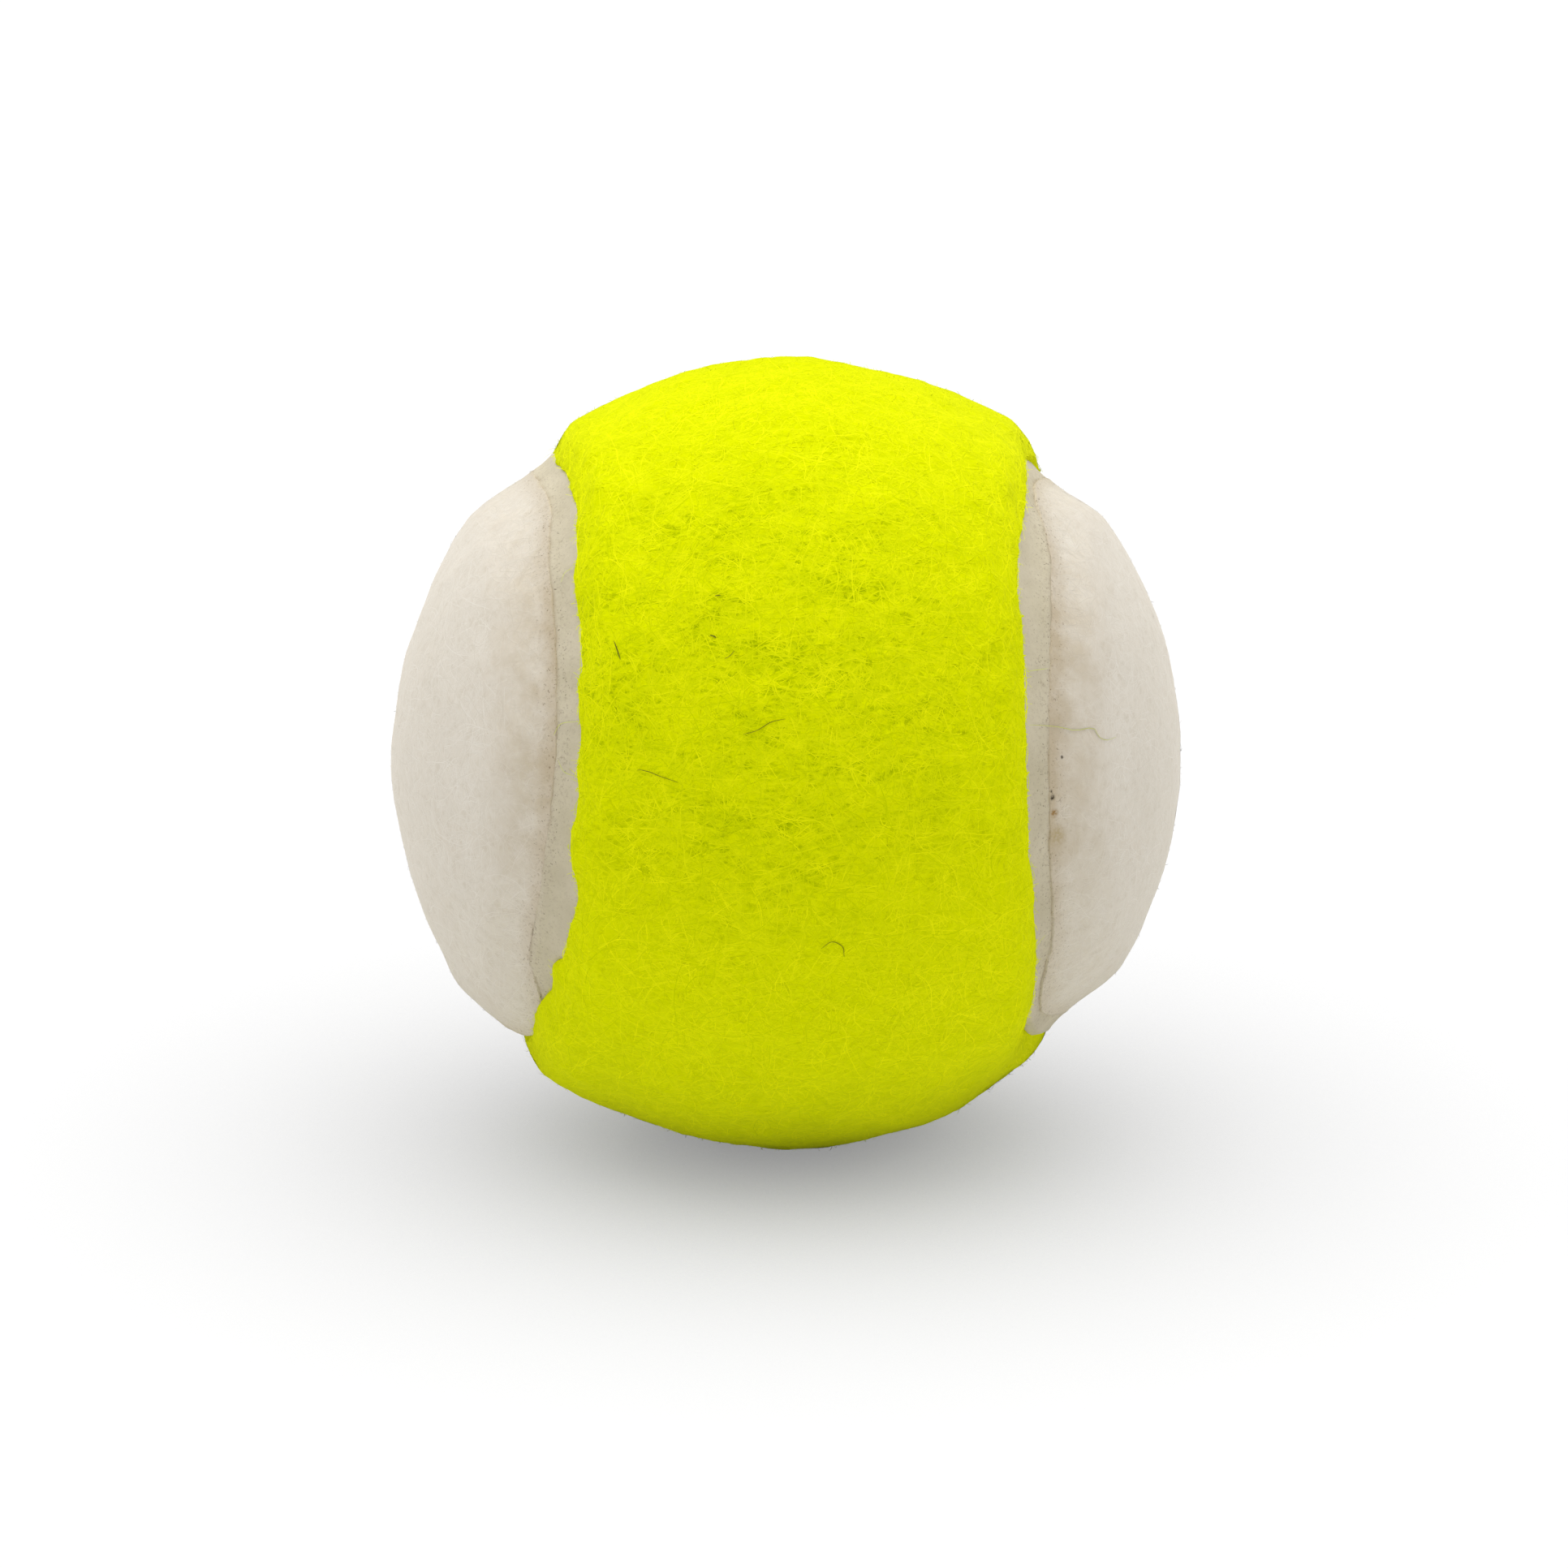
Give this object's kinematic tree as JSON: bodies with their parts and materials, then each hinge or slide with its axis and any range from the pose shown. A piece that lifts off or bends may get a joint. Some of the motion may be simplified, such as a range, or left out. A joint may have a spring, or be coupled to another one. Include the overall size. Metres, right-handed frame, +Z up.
{
  "type": "tennis ball",
  "caption": "Hollow rubber-cored tennis ball with interlocking dumbbell-shaped felt panels in yellow and white, parted by a recessed rubber seam.",
  "frame": {"origin": "centre of the ball", "axes": "+Z up, away from the surface that the ball lies on; -Y towards the viewer, with the yellow panel's waist in front and turned up by 23 degrees; +X to the viewer's right"},
  "size_m": [0.067, 0.067, 0.067],
  "materials": {
    "core_rubber": "matt moulded rubber",
    "cement": "dull rubber cement",
    "yellow_felt": "napped felt",
    "white_felt": "napped felt",
    "seam_rubber": "matt vulcanised rubber"
  },
  "bodies": {
    "root": {"core_half_upper": "core_rubber", "core_half_lower": "core_rubber", "core_joint_cement": "cement", "yellow_panel_cement": "cement", "white_panel_cement": "cement", "yellow_felt_panel": "yellow_felt", "white_felt_panel": "white_felt", "seam_rubber": "seam_rubber"}
  },
  "joints": []
}
